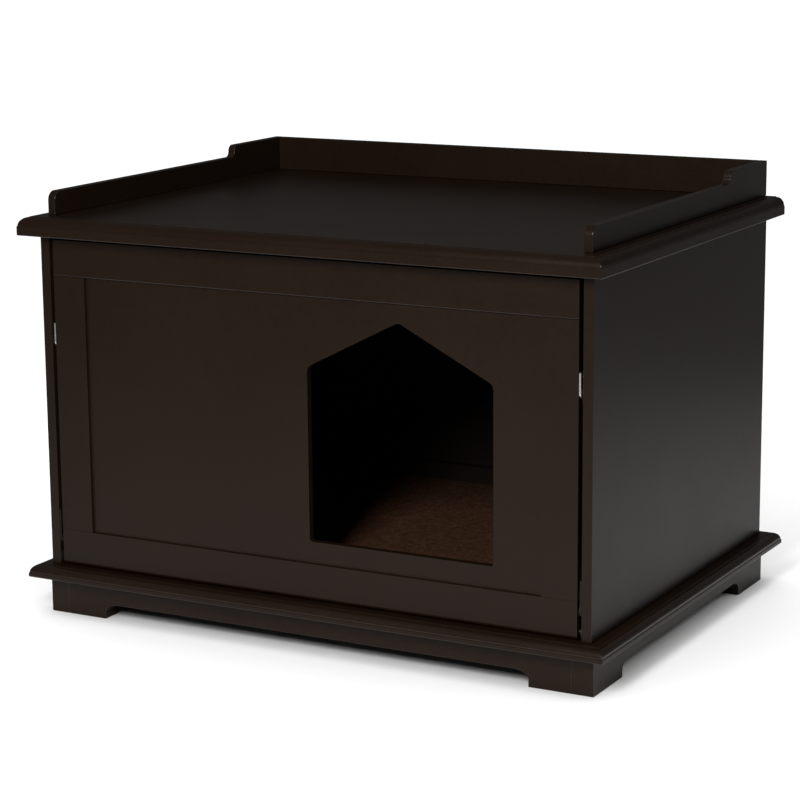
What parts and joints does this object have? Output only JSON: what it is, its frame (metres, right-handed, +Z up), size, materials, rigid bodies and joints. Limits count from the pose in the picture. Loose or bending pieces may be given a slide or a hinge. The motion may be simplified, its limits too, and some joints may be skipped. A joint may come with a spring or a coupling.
{
  "type": "cat litter box cabinet",
  "caption": "Low bench cabinet that hides a litter pan: moulded top with a three-sided gallery, bracket-foot plinth, and a full-width drop-down front with a house-shaped cat entry.",
  "frame": {"origin": "on the floor under the middle of the whole cabinet", "axes": "+X to the cabinet's right seen from the front, +Y to its back, +Z up; the door faces -Y"},
  "size_m": [0.754, 0.554, 0.525],
  "materials": {
    "espresso_paint": "dark espresso satin paint on smooth board",
    "brown_board": "dark brown foil and stained batten, matt",
    "felt_mat": "needle-punched brown felt",
    "steel": "zinc plated, satin",
    "dark_steel": "browned steel, dull",
    "nylon": "dark brown nylon",
    "black_plastic": "moulded black plastic"
  },
  "bodies": {
    "cabinet": {"tabletop": "espresso_paint", "gallery_side_right": "espresso_paint", "gallery_side_left": "espresso_paint", "gallery_back": "espresso_paint", "base_board": "espresso_paint", "plinth_front": "espresso_paint", "plinth_back": "espresso_paint", "plinth_side_right": "espresso_paint", "plinth_side_left": "espresso_paint", "side_panel_right": "espresso_paint", "side_panel_left": "espresso_paint", "plinth_block_front_right": "brown_board", "plinth_block_front_left": "brown_board", "plinth_block_rear_right": "brown_board", "plinth_block_rear_left": "brown_board", "back_panel": "brown_board", "floor_bearer_right": "brown_board", "floor_bearer_left": "brown_board", "floor_panel": "brown_board", "floor_batten_rear": "brown_board", "door_stop_rail": "brown_board", "top_cleat_right": "brown_board", "top_cleat_left": "brown_board", "floor_mat": "felt_mat", "stay_anchor_plate_right": "dark_steel", "stay_anchor_plate_left": "dark_steel", "anchor_screw_1_right": "dark_steel", "anchor_screw_1_left": "dark_steel", "anchor_screw_2_right": "dark_steel", "anchor_screw_2_left": "dark_steel", "pivot_bush_right": "nylon", "pivot_bush_left": "nylon", "magnetic_catch_right": "black_plastic", "magnetic_catch_left": "black_plastic"},
    "door": {"door_rail_top": "espresso_paint", "door_rail_bottom": "espresso_paint", "door_stile_right": "espresso_paint", "door_stile_left": "espresso_paint", "door_panel": "espresso_paint", "pivot_pin_right": "dark_steel", "pivot_pin_left": "dark_steel", "stay_door_plate_right": "steel", "stay_door_plate_left": "steel", "door_plate_screw_1_right": "steel", "door_plate_screw_1_left": "steel", "door_plate_screw_2_right": "steel", "door_plate_screw_2_left": "steel", "catch_strike_right": "steel", "catch_strike_left": "steel", "strike_screw_right": "steel", "strike_screw_left": "steel"},
    "stay_lower_right": {"stay_arm_lower_right": "dark_steel"},
    "stay_lower_left": {"stay_arm_lower_left": "dark_steel"},
    "stay_upper_right": {"stay_arm_upper_right": "dark_steel", "stay_elbow_rivet_right": "dark_steel"},
    "stay_upper_left": {"stay_arm_upper_left": "dark_steel", "stay_elbow_rivet_left": "dark_steel"}
  },
  "joints": [
    {"name": "door_drop", "type": "hinge", "parent": "cabinet", "child": "door", "pos_m": [0, -0.2475, 0.0695], "axis": [1, 0, 0], "range_deg": [0, 90]},
    {"name": "stay_lower_right_swing", "type": "hinge", "parent": "cabinet", "child": "stay_lower_right", "pos_m": [0.3392, -0.2485, 0.092], "axis": [1, 0, 0], "range_deg": [0, 113]},
    {"name": "stay_upper_right_swing", "type": "hinge", "parent": "door", "child": "stay_upper_right", "pos_m": [0.3392, -0.2485, 0.333], "axis": [1, 0, 0], "range_deg": [-12, 0]},
    {"name": "stay_lower_left_swing", "type": "hinge", "parent": "cabinet", "child": "stay_lower_left", "pos_m": [-0.3392, -0.2485, 0.092], "axis": [1, 0, 0], "range_deg": [0, 113]},
    {"name": "stay_upper_left_swing", "type": "hinge", "parent": "door", "child": "stay_upper_left", "pos_m": [-0.3392, -0.2485, 0.333], "axis": [1, 0, 0], "range_deg": [-12, 0]}
  ],
  "couplings": [
    {"joint": "stay_lower_right_swing", "follows": "door_drop", "ratio": 1.2464},
    {"joint": "stay_upper_right_swing", "follows": "door_drop", "ratio": -0.13267},
    {"joint": "stay_lower_left_swing", "follows": "door_drop", "ratio": 1.2464},
    {"joint": "stay_upper_left_swing", "follows": "door_drop", "ratio": -0.13267}
  ]
}
